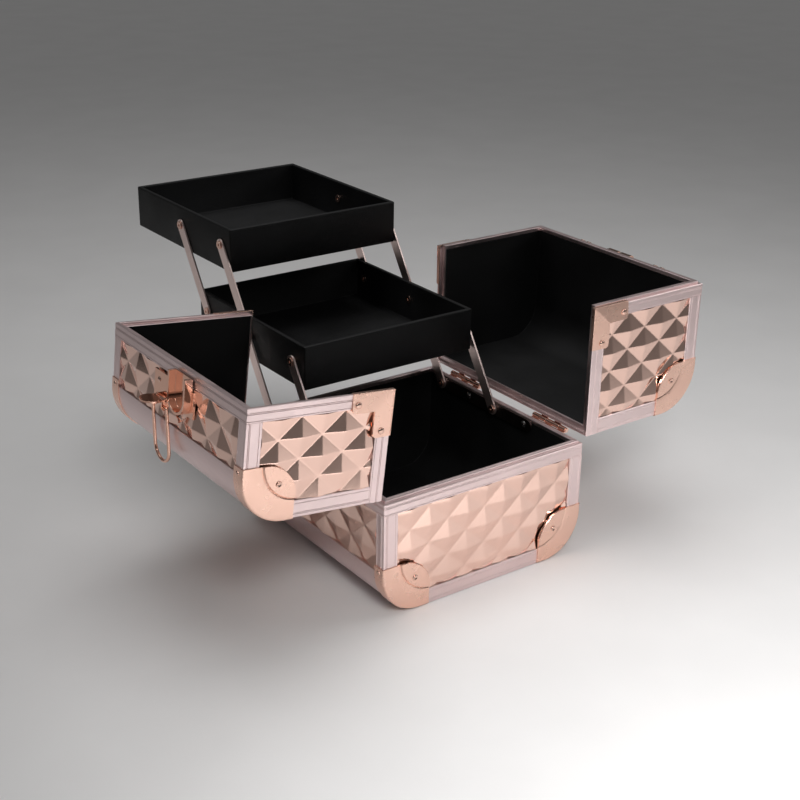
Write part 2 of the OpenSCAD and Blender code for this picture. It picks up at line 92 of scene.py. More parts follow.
# A point where four pyramids meet, in each sheet's own (u, v)
BASE_END_LATTICE = (-43.8, 81.5)
BASE_WALL_LATTICE = (0, 81.5)
LEFT_END_LATTICE = (109.26, 71.1)
LEFT_WALL_LATTICE = (-77.3, 73.3)
RIGHT_END_LATTICE = (46.7, 79.4)
RIGHT_WALL_LATTICE = (-77.3, 79.4)
LOW_WALL_LATTICE_V = 60

# How far short of the seam plane each lid rim's outer shoulder and inner lip stop. Below zero is past it.
LEFT_SEAM = (0.3, 2.6)
RIGHT_SEAM = (1.5, -1.0)

BASE = Matrix.Scale(MM, 4)
RIGHT = (
    BASE
    @ Matrix.Translation((HINGE_X, 0, HINGE_Z))
    @ Matrix.Rotation(math.radians(90), 4, "Y")
    @ Matrix.Translation((-HINGE_OFF, 0, 0))
    @ Matrix.Scale(-1, 4, (1, 0, 0))
)
LEFT = (
    BASE
    @ Matrix.Translation((-HINGE_X, 0, HINGE_Z))
    @ Matrix.Rotation(-LEFT_OPEN, 4, "Y")
    @ Matrix.Translation((HINGE_OFF, 0, 0))
)


def columns(a, b, c, at):
    """A matrix that turns local (1, 2, 3) into directions a, b, c, with its origin at a point."""
    m = Matrix((a, b, c)).transposed().to_4x4()
    m.translation = Vector(at)
    return m


# ---------- materials ----------


def new_material(name):
    mat = bpy.data.materials.new(name)
    mat.use_nodes = True
    nodes = mat.node_tree.nodes
    return mat, nodes, mat.node_tree.links, nodes["Principled BSDF"]


def noise(nodes, links, scale, detail=3.0, stretch=(1, 1, 1)):
    where = nodes.new("ShaderNodeTexCoord")
    mapping = nodes.new("ShaderNodeMapping")
    mapping.inputs["Scale"].default_value = stretch
    texture = nodes.new("ShaderNodeTexNoise")
    texture.inputs["Scale"].default_value = scale
    texture.inputs["Detail"].default_value = detail
    links.new(where.outputs["Object"], mapping.inputs["Vector"])
    links.new(mapping.outputs["Vector"], texture.inputs["Vector"])
    return texture.outputs["Fac"]


def ramp(nodes, links, source, low, high, start=0.3, stop=0.7):
    """Turns a 0 to 1 value into a colour or a grey between low and high."""
    r = nodes.new("ShaderNodeValToRGB")
    r.color_ramp.elements[0].position = start
    r.color_ramp.elements[1].position = stop
    r.color_ramp.elements[0].color = (*low, 1) if hasattr(low, "__len__") else (low, low, low, 1)
    r.color_ramp.elements[1].color = (*high, 1) if hasattr(high, "__len__") else (high, high, high, 1)
    links.new(source, r.inputs["Fac"])
    return r.outputs["Color"]


def bump(nodes, links, shader, height, strength, distance, after=None):
    b = nodes.new("ShaderNodeBump")
    b.inputs["Strength"].default_value = strength
    b.inputs["Distance"].default_value = distance
    links.new(height, b.inputs["Height"])
    if after is not None:
        links.new(after, b.inputs["Normal"])
    links.new(b.outputs["Normal"], shader.inputs["Normal"])
    return b.outputs["Normal"]


def metal(name, colour, rough, grain=0.08, grain_scale=900.0, tint=0.06, smudge=0.05):
    """Plated or anodised metal: slow tint drift, smudged gloss and a fine surface grain."""
    mat, nodes, links, shader = new_material(name)
    shader.inputs["Metallic"].default_value = 1.0
    drift = noise(nodes, links, 14.0)
    darker = [c * (1 - tint) for c in colour]
    lighter = [min(1.0, c * (1 + tint * 0.5)) for c in colour]
    links.new(ramp(nodes, links, drift, darker, lighter), shader.inputs["Base Color"])
    gloss = noise(nodes, links, 55.0, 6.0)
    links.new(ramp(nodes, links, gloss, rough - smudge, rough + smudge), shader.inputs["Roughness"])
    fine = noise(nodes, links, grain_scale, 4.0)
    bump(nodes, links, shader, fine, grain, 0.0002)
    return mat


def brushed(name, colour, rough, along):
    """Satin extrusion: fine lines drawn along one direction, which set both its tint and its gloss."""
    mat, nodes, links, shader = new_material(name)
    shader.inputs["Metallic"].default_value = 1.0
    stretch = [1 if a else 90 for a in along]
    lines = noise(nodes, links, 26.0, 5.0, stretch)
    darker = [c * 0.93 for c in colour]
    links.new(ramp(nodes, links, lines, darker, colour, 0.35, 0.65), shader.inputs["Base Color"])
    links.new(ramp(nodes, links, lines, rough - 0.06, rough + 0.06), shader.inputs["Roughness"])
    fine = noise(nodes, links, 60.0, 3.0, stretch)
    bump(nodes, links, shader, fine, 0.10, 0.0002)
    return mat


def leather(name, colour, rough, cell, depth):
    """Black leatherette: pebbled cells and finer pores between them as bumps, and a slow noise that lightens its
    colour and changes its gloss.
    """
    mat, nodes, links, shader = new_material(name)
    shader.inputs["Specular IOR Level"].default_value = 0.25
    where = nodes.new("ShaderNodeTexCoord")
    cells = nodes.new("ShaderNodeTexVoronoi")
    cells.feature = "DISTANCE_TO_EDGE"
    cells.inputs["Scale"].default_value = 1 / cell
    links.new(where.outputs["Object"], cells.inputs["Vector"])
    creases = ramp(nodes, links, cells.outputs["Distance"], 0.0, 1.0, 0.0, 0.28)
    worn = noise(nodes, links, 18.0)
    lighter = [c * 1.9 for c in colour]
    links.new(ramp(nodes, links, worn, colour, lighter, 0.4, 0.75), shader.inputs["Base Color"])
    links.new(ramp(nodes, links, worn, rough - 0.06, rough + 0.08), shader.inputs["Roughness"])
    pores = noise(nodes, links, 1500.0, 2.0)
    first = bump(nodes, links, shader, pores, 0.25, 0.0001)
    bump(nodes, links, shader, creases, 0.55, depth, first)
    return mat


def board_material(name):
    """Compressed fibreboard, seen only at cut edges."""
    mat, nodes, links, shader = new_material(name)
    fibre = noise(nodes, links, 320.0, 8.0, (1, 1, 4))
    links.new(ramp(nodes, links, fibre, (0.10, 0.065, 0.05), (0.2, 0.14, 0.11)), shader.inputs["Base Color"])
    shader.inputs["Roughness"].default_value = 0.85
    bump(nodes, links, shader, fibre, 0.4, 0.0003)
    return mat


def floor_material(name):
    mat, nodes, links, shader = new_material(name)
    grain = noise(nodes, links, 9.0)
    tone = ramp(nodes, links, grain, (0.74, 0.73, 0.725), (0.77, 0.76, 0.755))
    links.new(tone, shader.inputs["Base Color"])
    shader.inputs["Roughness"].default_value = 0.6
    return mat


SHEET = metal("embossed_sheet", (0.93, 0.64, 0.54), 0.10, 0.03, 700.0, 0.05, 0.03)
PLAIN = metal("plain_sheet", (0.78, 0.60, 0.57), 0.34)
PROFILE_Y = brushed("profile_y", (0.84, 0.67, 0.66), 0.36, (False, True, False))
PROFILE = metal("profile_satin", (0.88, 0.71, 0.70), 0.36, 0.06, 1200.0)
CAPS = metal("rose_caps", (0.96, 0.63, 0.51), 0.28, 0.008, 500.0, 0.05, 0.03)
HINGE = metal("rose_hinges", (0.80, 0.50, 0.40), 0.24)
LATCH = metal("rose_latch", (0.92, 0.56, 0.43), 0.09, 0.02, 800.0, 0.04, 0.03)
RIVET = metal("rose_rivets", (0.85, 0.56, 0.46), 0.22)
ARMS = metal("arm_strip", (0.95, 0.76, 0.71), 0.38, 0.04, 1000.0)
DARK = metal("dark_lacquer", (0.085, 0.062, 0.058), 0.38)
SCREW = metal("screw_plating", (0.74, 0.72, 0.70), 0.2)
LINING = leather("lining_grain", (0.0028, 0.0028, 0.003), 0.6, 0.0011, 0.00012)
TRAY = leather("tray_wrap", (0.0034, 0.0034, 0.0037), 0.52, 0.0014, 0.00018)
BOARD = board_material("board_edge")
GRIP = metal("grip_moulding", (0.86, 0.58, 0.48), 0.26)


# ---------- mesh helpers ----------


def piece(name, parts, mat, body, node, slot, sharp):
    """One mesh from (vertices, faces, placement) parts. It stands for a CAD node and rides on its body."""
    verts = []
    faces = []
    for points, polys, place in parts:
        start = len(verts)
        verts += [place @ Vector(p) for p in points]
        faces += [[start + i for i in f] for f in polys]
    mesh = bpy.data.meshes.new(name)
    mesh.from_pydata([tuple(v) for v in verts], [], faces)
    bm = bmesh.new()
    bm.from_mesh(mesh)
    bmesh.ops.remove_doubles(bm, verts=bm.verts, dist=2e-6)
    bmesh.ops.dissolve_degenerate(bm, dist=2e-6, edges=bm.edges)
    bmesh.ops.recalc_face_normals(bm, faces=bm.faces)
    bm.to_mesh(mesh)
    bm.free()
    return finish_piece(name, mesh, mat, body, node, slot, sharp)


def finish_piece(name, mesh, mat, body, node, slot, sharp):
    mesh.shade_smooth()
    mesh.set_sharp_from_angle(angle=math.radians(sharp))
    mesh.materials.clear()
    mesh.materials.append(mat)
    obj = bpy.data.objects.new(name, mesh)
    bpy.context.scene.collection.objects.link(obj)
    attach(obj, body)
    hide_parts(node)
    return obj


def refined(node, width, mat, body, slot):
    """A copy of a CAD node with its facets merged and its edges rounded by width millimetres."""
    mesh = frame["nodes"][node].data.copy()
    mesh.name = node + "_look"
    bm = bmesh.new()
    bm.from_mesh(mesh)
    bmesh.ops.remove_doubles(bm, verts=bm.verts, dist=2e-6)
    bmesh.ops.dissolve_limit(bm, angle_limit=math.radians(0.6), verts=bm.verts, edges=bm.edges)
    bm.to_mesh(mesh)
    bm.free()
    for layer in list(mesh.attributes):
        if layer.name == "custom_normal":
            mesh.attributes.remove(layer)
    obj = finish_piece(node + "_look", mesh, mat, body, node, slot, 32)
    if width:
        round_edges(obj, width)


def round_edges(obj, width):
    bevel = obj.modifiers.new("edges", "BEVEL")
    bevel.width = width * MM
    bevel.segments = 2
    bevel.limit_method = "ANGLE"
    bevel.angle_limit = math.radians(38)
    bevel.harden_normals = True


def ring(section, corners):
    """A closed frame. Each section point is carried round the corners, and neighbours are joined."""
    points = []
    faces = []
    rows = [corners(p) for p in section]
    n = len(rows[0])
    for row in rows:
        points += row
    for i in range(len(rows)):
        j = (i + 1) % len(rows)
        for k in range(n):
            m = (k + 1) % n
            faces.append([i * n + k, i * n + m, j * n + m, j * n + k])
    return points, faces


def sweep(section, along):
    """An open run. Each section point has its own line of points, and both ends are capped."""
    points = []
    faces = []
    rows = [along(p) for p in section]
    n = len(rows[0])
    for row in rows:
        points += row
    for i in range(len(rows)):
        j = (i + 1) % len(rows)
        for k in range(n - 1):
            faces.append([i * n + k, i * n + k + 1, j * n + k + 1, j * n + k])
    faces.append([i * n for i in range(len(rows))])
    faces.append([i * n + n - 1 for i in reversed(range(len(rows)))])
    return points, faces


def lofted(rows):
    """Closed loops of points, each joined to the next, with both ends capped."""
    n = len(rows[0])
    points = [p for row in rows for p in row]
    faces = []
    for i in range(len(rows) - 1):
        for k in range(n):
            m = (k + 1) % n
            faces.append([i * n + k, i * n + m, (i + 1) * n + m, (i + 1) * n + k])
    faces.append(list(reversed(range(n))))
    faces.append([(len(rows) - 1) * n + k for k in range(n)])
    return points, faces


def grooved(start, stop, grooves, depth=0.4, half=0.35):
    """Distances along a face with shallow V-shaped grooves, as (distance, sink) pairs."""
    line = [(start, 0.0)]
    for g in grooves:
        line += [(g - half, 0.0), (g, depth), (g + half, 0.0)]
    line.append((stop, 0.0))
    return line


# ---------- embossed sheets ----------


def lattice_cells(lo, hi, origin):
    """Middle points of the rhombi that can reach into the box from lo to hi."""
    cells = []
    reach_u = int((hi[0] - lo[0]) / PITCH_LONG) + 4
    reach_v = int((hi[1] - lo[1]) / PITCH_SHORT) + 4
    first_u = math.floor((lo[0] - origin[0]) / PITCH_LONG) - 1
    first_v = math.floor((lo[1] - origin[1]) / PITCH_SHORT) - 1
    for i in range(first_u, first_u + reach_u):
        for j in range(first_v, first_v + reach_v):
            cells.append((origin[0] + (i + 0.5) * PITCH_LONG, origin[1] + j * PITCH_SHORT))
            cells.append((origin[0] + (i + 1) * PITCH_LONG, origin[1] + (j + 0.5) * PITCH_SHORT))
    return cells


def pyramid_sheet(outline, origin):
    """Rhombic pyramids cut to a convex outline and closed at the back, in local (u, v, height)."""
    lo = [min(p[k] for p in outline) for k in (0, 1)]
    hi = [max(p[k] for p in outline) for k in (0, 1)]
    bm = bmesh.new()
    for u, v in lattice_cells(lo, hi, origin):
        foot = [
            bm.verts.new((u + du * PITCH_LONG / 2, v + dv * PITCH_SHORT / 2, PYRAMID_FOOT))
            for du, dv in ((-1, 0), (0, -1), (1, 0), (0, 1))
        ]
        top = bm.verts.new((u, v, PYRAMID_FOOT + PYRAMID_H))
        for k in range(4):
            bm.faces.new((foot[k], foot[(k + 1) % 4], top))
    bmesh.ops.remove_doubles(bm, verts=bm.verts, dist=0.01)
    inner = [e for e in bm.edges if len(e.link_faces) == 2]
    bmesh.ops.bevel(bm, geom=inner, offset=0.6, segments=2, profile=0.5, affect="EDGES")
    count = len(outline)
    for k in range(count):
        a = Vector((*outline[k], 0))
        b = Vector((*outline[(k + 1) % count], 0))
        out = (b - a).cross(Vector((0, 0, 1)))
        geom = bm.verts[:] + bm.edges[:] + bm.faces[:]
        bmesh.ops.bisect_plane(bm, geom=geom, plane_co=a, plane_no=out, clear_outer=True, dist=1e-4)
    bmesh.ops.remove_doubles(bm, verts=bm.verts, dist=0.002)
    rim = [e for e in bm.edges if len(e.link_faces) == 1]
    grown = bmesh.ops.extrude_edge_only(bm, edges=rim)["geom"]
    for v in grown:
        if isinstance(v, bmesh.types.BMVert):
            v.co.z = SHEET_BACK - 0.01
    back = [e for e in grown if isinstance(e, bmesh.types.BMEdge)]
    bmesh.ops.holes_fill(bm, edges=back, sides=0)
    bm.verts.index_update()
    points = [tuple(v.co) for v in bm.verts]
    faces = [[v.index for v in f.verts] for f in bm.faces]
    bm.free()
    return points, faces


def arc(cx, cy, r, start, stop, steps):
    return [
        (
            cx + r * math.cos(math.radians(start + (stop - start) * k / steps)),
            cy + r * math.sin(math.radians(start + (stop - start) * k / steps)),
        )
        for k in range(steps + 1)
    ]


def base_end_outline(inset, top):
    r = CORNER_R - inset
    left = arc(-HALF_W + CORNER_R, CORNER_R, r, 180, 270, 12)
    right = arc(HALF_W - CORNER_R, CORNER_R, r, 270, 360, 12)
    return [(-HALF_W + inset, top), *left, *right, (HALF_W - inset, top)]


def lid_end_outline(inset, wide):
    """In (z, u), so that the long pitch runs along the lid's height."""
    r = CORNER_R - inset
    turn = arc(LID_H - CORNER_R, CORNER_R, r, 0, -90, 12)
    corners = [(RIM_H, wide - RIM_H), (LID_H - inset, wide - RIM_H), *turn, (RIM_H, inset)]
    return list(reversed(corners))


def panel_gap(outline, gap=0.35):
    """Draws a convex outline in by a small gap, so that a dark line shows round the sheet."""
    cx = sum(p[0] for p in outline) / len(outline)
    cy = sum(p[1] for p in outline) / len(outline)
    return [
        (p[0] - math.copysign(gap, p[0] - cx), p[1] - math.copysign(gap, p[1] - cy)) for p in outline
    ]


def facing_end(side):
    """(x, z, height) on an end face of the base: side -1 is the near end."""
    return columns((1, 0, 0), (0, 0, 1), (0, side, 0), (0, side * HALF_D, 0))


def lid_facing_end(side):
    """(z, u, height) on an end face of a lid half."""
    return columns((0, 0, 1), (1, 0, 0), (0, side, 0), (0, side * HALF_D, 0))


def base_sheets():
    outline = panel_gap(base_end_outline(PROFILE_W, BASE_H - RIM_H))
    parts = []
    for side in (-1, 1):
        points, faces = pyramid_sheet(outline, BASE_END_LATTICE)
        parts.append((points, faces, BASE @ facing_end(side)))
    piece("base_end_sheets", parts, SHEET, "base", "base_end_panels", "mirror_panel", 1)
    half = HALF_D - END_WRAP
    top = BASE_H - RIM_H
    flat = panel_gap([(-half, STRIP_EDGE), (half, STRIP_EDGE), (half, top), (-half, top)])
    parts = []
    for side in (-1, 1):
        points, faces = pyramid_sheet(flat, BASE_WALL_LATTICE)
        place = columns((0, 1, 0), (0, 0, 1), (side, 0, 0), (side * HALF_W, 0, 0))
        parts.append((points, faces, BASE @ place))
    piece("base_side_sheets", parts, SHEET, "base", "base_side_panels", "mirror_panel", 1)


def lid_sheets(side_name, place, body, wide, end_origin, wall_origin):
    outline = panel_gap(lid_end_outline(PROFILE_W, wide))
    parts = []
    for side in (-1, 1):
        points, faces = pyramid_sheet(outline, end_origin)
        parts.append((points, faces, place @ lid_facing_end(side)))
    piece(side_name + "_end_sheets", parts, SHEET, body, side_name + "_end_panels", "mirror_panel", 1)
    half = HALF_D - END_WRAP
    edge = LID_H - STRIP_EDGE
    low = panel_gap([(-half, RIM_H), (half, RIM_H), (half, edge), (-half, edge)])
    points, faces = pyramid_sheet(low, (wall_origin[0], LOW_WALL_LATTICE_V))
    parts = [(points, faces, place @ columns((0, 1, 0), (0, 0, 1), (-1, 0, 0), (0, 0, 0)))]
    seam = wide - RIM_H
    high = panel_gap([(-half, STRIP_EDGE), (half, STRIP_EDGE), (half, seam), (-half, seam)])
    points, faces = pyramid_sheet(high, wall_origin)
    parts.append((points, faces, place @ columns((0, 1, 0), (1, 0, 0), (0, 0, 1), (0, 0, LID_H))))
    piece(side_name + "_wall_sheets", parts, SHEET, body, side_name + "_wall_panels", "mirror_panel", 1)


# ---------- frame profiles ----------

EDGE = 0.7


def end_frame_section():
    """(inset, depth) round the end frame: a lapped face with fine grooves, and its wrap on the wall."""
    side = [(sink, END_WRAP - d) for d, sink in grooved(0.4, END_WRAP - EDGE, (1.6, 8.0, 9.2))]
    face = [(d, sink) for d, sink in grooved(EDGE, PROFILE_W - 0.5, (2.9, 4.1, 12.6))]
    turn = [(EDGE * 0.29, EDGE * 0.29)]
    return [
        (PROFILE_T, END_WRAP),
        (0.4, END_WRAP),
        *side,
        *turn,
        *face,
        (PROFILE_W, 0.5),
        (PROFILE_W, PROFILE_T),
        (PROFILE_T, PROFILE_T),
    ]


def base_end_frames():
    parts = []
    for side in (-1, 1):

        def along(p):
            inset, depth = p
            r = CORNER_R - inset
            line = [(-HALF_W + inset, BASE_H - RIM_H)]
            line += arc(-HALF_W + CORNER_R, CORNER_R, r, 180, 270, 20)
            line += arc(HALF_W - CORNER_R, CORNER_R, r, 270, 360, 20)
            line += [(HALF_W - inset, BASE_H - RIM_H)]
            return [(x, side * (HALF_D - depth), z) for x, z in line]

        points, faces = sweep(end_frame_section(), along)
        parts.append((points, faces, BASE))
    piece("base_end_profiles", parts, PROFILE, "base", "base_end_frames", "profile", 28)


def lid_end_frames(side_name, place, body, wide):
    parts = []
    for side in (-1, 1):

        def along(p):
            inset, depth = p
            r = CORNER_R - inset
            line = [(inset, RIM_H)]
            line += arc(CORNER_R, LID_H - CORNER_R, r, 180, 90, 20)
            line += [(wide - RIM_H, LID_H - inset)]
            return [(x, side * (HALF_D - depth), z) for x, z in line]

        points, faces = sweep(end_frame_section(), along)
        parts.append((points, faces, place))
    piece(side_name + "_end_profiles", parts, PROFILE, body, side_name + "_end_frames", "profile", 28)


def rim_section():
    """(inset, below the closing plane) round the base's rim: outer face, shoulder and inner lip."""
    outer = [(sink, RIM_H - d) for d, sink in grooved(0.3, RIM_H - 1.5 - 0.5, (1.6, 7.6, 8.8))]
    return [
        (PROFILE_T, RIM_H),
        (0.3, RIM_H),
        *outer,
        (0.5, 1.5),
        (PROFILE_T - 0.2, 1.5),
        (PROFILE_T, 1.3),
        (PROFILE_T, -0.5),
        (PROFILE_T + 0.5, -1.0),
        (5.3, -1.0),
        (5.6, -0.7),
        (6.0, -0.7),
        (6.3, -1.0),
        (SHELL_IN - 0.5, -1.0),
        (SHELL_IN, -0.5),
        (SHELL_IN, RIM_CAP),
        (PROFILE_T, RIM_CAP),
    ]


def base_rim():
    soft = 1.6

    def corners(p):
        inset, below = p
        r = max(soft - inset, 0.0)
        line = []
        for sx, sy, start in ((1, 1, 0), (-1, 1, 90), (-1, -1, 180), (1, -1, 270)):
            cx = sx * (HALF_W - max(soft, inset))
            cy = sy * (HALF_D - max(soft, inset))
            line += arc(cx, cy, r, start, start + 90, 4)
        return [(x, y, BASE_H - below) for x, y in line]

    points, faces = ring(rim_section(), corners)
    piece("base_rim_profile", [(points, faces, BASE)], PROFILE, "base", "base_rim", "profile", 28)


def lid_rim(side_name, place, body, wide, seam_outer, seam_inner):
    """The lid's frame round its open bottom and seam. A section point is (inset, from bottom, from seam)."""
    outer = [
        (sink, RIM_H - d, RIM_H - d)
        for d, sink in grooved(0.3, RIM_H - 2.4, (1.6, 7.6, 8.8))
    ]
    section = [
        (PROFILE_T, RIM_H, RIM_H),
        (0.3, RIM_H, RIM_H),
        *outer,
        (0.0, -0.8, seam_outer + 0.5),
        (0.5, -1.3, seam_outer),
        (PROFILE_T - 0.3, -1.3, seam_outer),
        (PROFILE_T, -1.0, seam_outer + 0.3),
        (PROFILE_T, 1.0, seam_inner + 0.3),
        (PROFILE_T + 0.4, 1.3, seam_inner),
        (SHELL_IN - 0.4, 1.3, seam_inner),
        (SHELL_IN, 1.7, seam_inner + 0.4),
        (SHELL_IN, RIM_CAP, RIM_CAP),
        (PROFILE_T, RIM_CAP, RIM_CAP),
    ]

    def corners(p):
        inset, low, seam = p
        u = wide - seam
        y = HALF_D - inset
        top = LID_H - inset
        return [(inset, -y, low), (u, -y, low), (u, -y, top), (u, y, top), (u, y, low), (inset, y, low)]

    points, faces = ring(section, corners)
    node = side_name + "_rim"
    piece(node + "_profile", [(points, faces, place)], PROFILE, body, node, "profile", 28)


# ---------- corner caps ----------

CAP_T = 1.0
CREST_AT = 20.5
CREST_R = 31.0
LENS_AT = 53.14
LENS_R = 34.7
SKIRT = -0.2  # the underside of the cap's crest, between the embossed sheet's feet and its points
LENS_RISE = 1.1


def cap_outer_line():
    """(point, outward direction) from the top of one wall round the corner to the end of the other."""
    line = [((0.0, CAP_LEG), (-1.0, 0.0)), ((0.0, 47.0), (-1.0, 0.0))]
    for a, b in arc(CORNER_R, CORNER_R, CORNER_R, 180, 270, 36):
        line.append(((a, b), ((a - CORNER_R) / CORNER_R, (b - CORNER_R) / CORNER_R)))
    line += [((47.0, 0.0), (0.0, -1.0)), ((CAP_LEG, 0.0), (0.0, -1.0))]
    return line


def cap_relief(a, b):
    """Height of the raised lens on the cap, with a fine groove at its outer edge."""
    q = LENS_R - math.hypot(a - LENS_AT, b - LENS_AT)
    step = min(max(q / 0.9, 0.0), 1.0)
    groove = math.exp(-(((q + 0.5) / 0.45) ** 2))
    return LENS_RISE * step * step * (3 - 2 * step) - 0.5 * groove


def lens_crossing(outer, inner):
    """How far from outer to inner the lens edge lies."""
    steps = 200
    for k in range(steps + 1):
        t = k / steps
        a = outer[0] + (inner[0] - outer[0]) * t
        b = outer[1] + (inner[1] - outer[1]) * t
        if math.hypot(a - LENS_AT, b - LENS_AT) < LENS_R:
            return t
    return 1.0


def cap_row(c, n, k):
    """One row round the sheet: up the wrap at c, over the face to the crest at k, and back underneath."""
    span = math.dist(c, k)
    cross = lens_crossing(c, k) * span

    def toward(t):
        return c[0] + (k[0] - c[0]) * t, c[1] + (k[1] - c[1]) * t

    row = [(c[0], c[1], -CAP_WRAP), (c[0] + 0.7 * n[0], c[1] + 0.7 * n[1], -CAP_WRAP)]
    row.append((c[0] + CAP_T * n[0], c[1] + CAP_T * n[1], -CAP_WRAP + 0.3))
    for angle in (0, 22.5, 45, 67.5):
        off = -0.8 + 1.8 * math.cos(math.radians(angle))
        up = -0.8 + 1.8 * math.sin(math.radians(angle))
        row.append((c[0] + off * n[0], c[1] + off * n[1], up))
    stops = [0.8, cross * 0.3, cross * 0.65]
    stops += [cross + d for d in (-1.6, -1.1, -0.8, -0.5, -0.25, 0.0, 0.2, 0.4, 0.6, 0.8, 1.0)]
    stops += [cross + (span - cross) * f for f in (0.4, 0.7)] + [span - 0.35]
    for s in stops:
        a, b = toward(min(max(s / span, 0.0), 0.999))
        row.append((a, b, CAP_T + cap_relief(a, b)))
    past = toward((PROFILE_W + 0.4) / span)
    row.append((*k, CAP_T + LENS_RISE - 0.35))
    row.append((*k, SKIRT))
    row.append((*past, SKIRT))
    row.append((*past, 0.0))
    row.append((*c, 0.0))
    return row


def cap_mesh():
    """A pressed corner cap, in (a, b, out of the end face), with its corner at the origin."""
    line = cap_outer_line()
    low = math.degrees(math.asin((CAP_LEG - CREST_AT) / CREST_R))
    crest = arc(CREST_AT, CREST_AT, CREST_R, low, 90 - low, len(line) - 1)
    points, faces = lofted([cap_row(c, n, k) for (c, n), k in zip(line, crest)])
    # The two end faces are slightly bent: their winding sets how they are cut into triangles
    faces[-2:] = [face[::-1] for face in faces[-2:]]
    return points, faces


def flush_below(points):
    """Draws the lowest 6 mm of a cap up by its sheet thickness, so that the base stands flat."""
    reach = 6.0
    squeeze = reach / (reach + CAP_T)
    return [(a, (b + CAP_T) * squeeze if b < reach else b, c) for a, b, c in points]


def corner_caps():
    points, faces = cap_mesh()
    standing = flush_below(points)
    parts = []
    for sx in (-1, 1):
        for sy in (-1, 1):
            place = columns((-sx, 0, 0), (0, 0, 1), (0, sy, 0), (sx * HALF_W, sy * HALF_D, 0))
            parts.append((standing, faces, BASE @ place))
    piece("base_caps", parts, CAPS, "base", "base_corner_caps", "rose_steel", 40)
    for side_name, lid, body in (("left", LEFT, "lid_left"), ("right", RIGHT, "lid_right")):
        parts = []
        for sy in (-1, 1):
            place = columns((1, 0, 0), (0, 0, -1), (0, sy, 0), (0, sy * HALF_D, LID_H))
            parts.append((points, faces, lid @ place))
        piece(side_name + "_caps", parts, CAPS, body, side_name + "_corner_caps", "rose_steel", 40)


# ---------- seam brackets and rivets ----------

BRACKET_LEG = 42.0
BRACKET_W = 17.5
RIM_GAP = 1.3


def slab(lo, hi):
    """A thin flange between two corners."""
    points = [(x, y, z) for x in (lo[0], hi[0]) for y in (lo[1], hi[1]) for z in (lo[2], hi[2])]
    faces = [[0, 1, 3, 2], [4, 6, 7, 5], [0, 4, 5, 1], [2, 3, 7, 6], [0, 2, 6, 4], [1, 5, 7, 3]]
    return points, faces


def bracket_plate(wide):
    """An L plate with a mitre crease, in (u, z, out). Both legs rise toward their inner edge."""
    across_z = BRACKET_W + RIM_GAP
    across_u = BRACKET_W - 0.3
    end_u = BRACKET_LEG - 0.3
    end_r = 4.0
    leg_u = [(0, 0), (end_u, 0)] + arc(end_u - end_r, across_z - end_r, end_r, 0, 90, 6)
    leg_z = arc(across_u - end_r, BRACKET_LEG - end_r, end_r, 0, 90, 6) + [(0, BRACKET_LEG)]
    outline = [*leg_u, (across_u, across_z), *leg_z]
    rise = 1.3

    def height(p, q):
        return 0.5 + rise * min(q / across_z, p / across_u, 1.0)

    points = [(wide - 0.3 - p, q - RIM_GAP, height(p, q)) for p, q in outline]
    points += [(p[0], p[1], -0.3) for p in points]
    n = len(outline)
    bend = len(leg_u)
    faces = [list(range(bend + 1)), [0, *range(bend, n)]]
    faces += [[k, (k + 1) % n, n + (k + 1) % n, n + k] for k in range(n)]
    faces += [[n + k for k in range(bend + 1)], [n, *[n + k for k in range(bend, n)]]]
    return points, faces


def seam_brackets(side_name, place, body, wide):
    parts = []
    for side in (-1, 1):
        end = place @ columns((1, 0, 0), (0, 0, 1), (0, side, 0), (0, side * HALF_D, 0))
        points, faces = bracket_plate(wide)
        parts.append((points, faces, end))
        for low, high in (
            ((wide - BRACKET_LEG, -2.1, -PROFILE_T), (wide - 0.3, -RIM_GAP, 0.6)),
            ((wide - 0.3, -2.1, -PROFILE_T), (wide + 0.3, 40.0, 0.6)),
        ):
            points, faces = slab(low, high)
            parts.append((points, faces, end))
    node = side_name + "_seam_brackets"
    obj = piece(node + "_folded", parts, CAPS, body, node, "rose_steel", 3)
    round_edges(obj, 0.25)


DOME_FOOT = 1.2  # the domes on a seam bracket start this far out of the lid's end face
BRACKET_RIVETS = ((36, 9), (10, 35))  # from the seam plane, and up from the lid's rim

# Rivet heads as (radius, height) points, from the rim to the middle
DOME = [(3.1, -0.8), (3.1, 0.3), (2.95, 0.75), (2.5, 1.15), (1.75, 1.5), (0.9, 1.7)]
EYELET = [(2.9, -0.8), (2.9, 0.35), (2.65, 0.75), (2.2, 0.9), (1.75, 0.7), (1.3, 0.2), (0.7, 0.05)]
SMALL_DOME = [(2.2, -0.6), (2.2, 0.2), (1.9, 0.6), (1.2, 0.9), (0.5, 1.0)]


def turned(profile, at, out):
    """A rivet head turned round the direction out, from (radius, height) points."""
    around = 24
    out = Vector(out)
    across = out.orthogonal().normalized()
    along = out.cross(across)
    turn = [2 * math.pi * k / around for k in range(around)]
    rows = []
    for r, h in profile:
        middle = Vector(at) + out * h
        rows.append([tuple(middle + across * (r * math.cos(a)) + along * (r * math.sin(a))) for a in turn])
    return lofted(rows)


def base_cap_rivets():
    heads = []
    for sx in (-1, 1):
        for sy in (-1, 1):
            lens = (sx * (HALF_W - CAP_RIVET), sy * (HALF_D + CAP_T + LENS_RISE), CAP_RIVET)
            heads.append(turned(EYELET, lens, (0, sy, 0)))
            wrap = (sx * (HALF_W + CAP_T), sy * (HALF_D - WRAP_RIVET_IN), WRAP_RIVET_UP)
            heads.append(turned(SMALL_DOME, wrap, (sx, 0, 0)))
    parts = [(points, faces, BASE) for points, faces in heads]
    piece("base_cap_rivet_heads", parts, RIVET, "base", "base_cap_rivets", "rivet", 50)


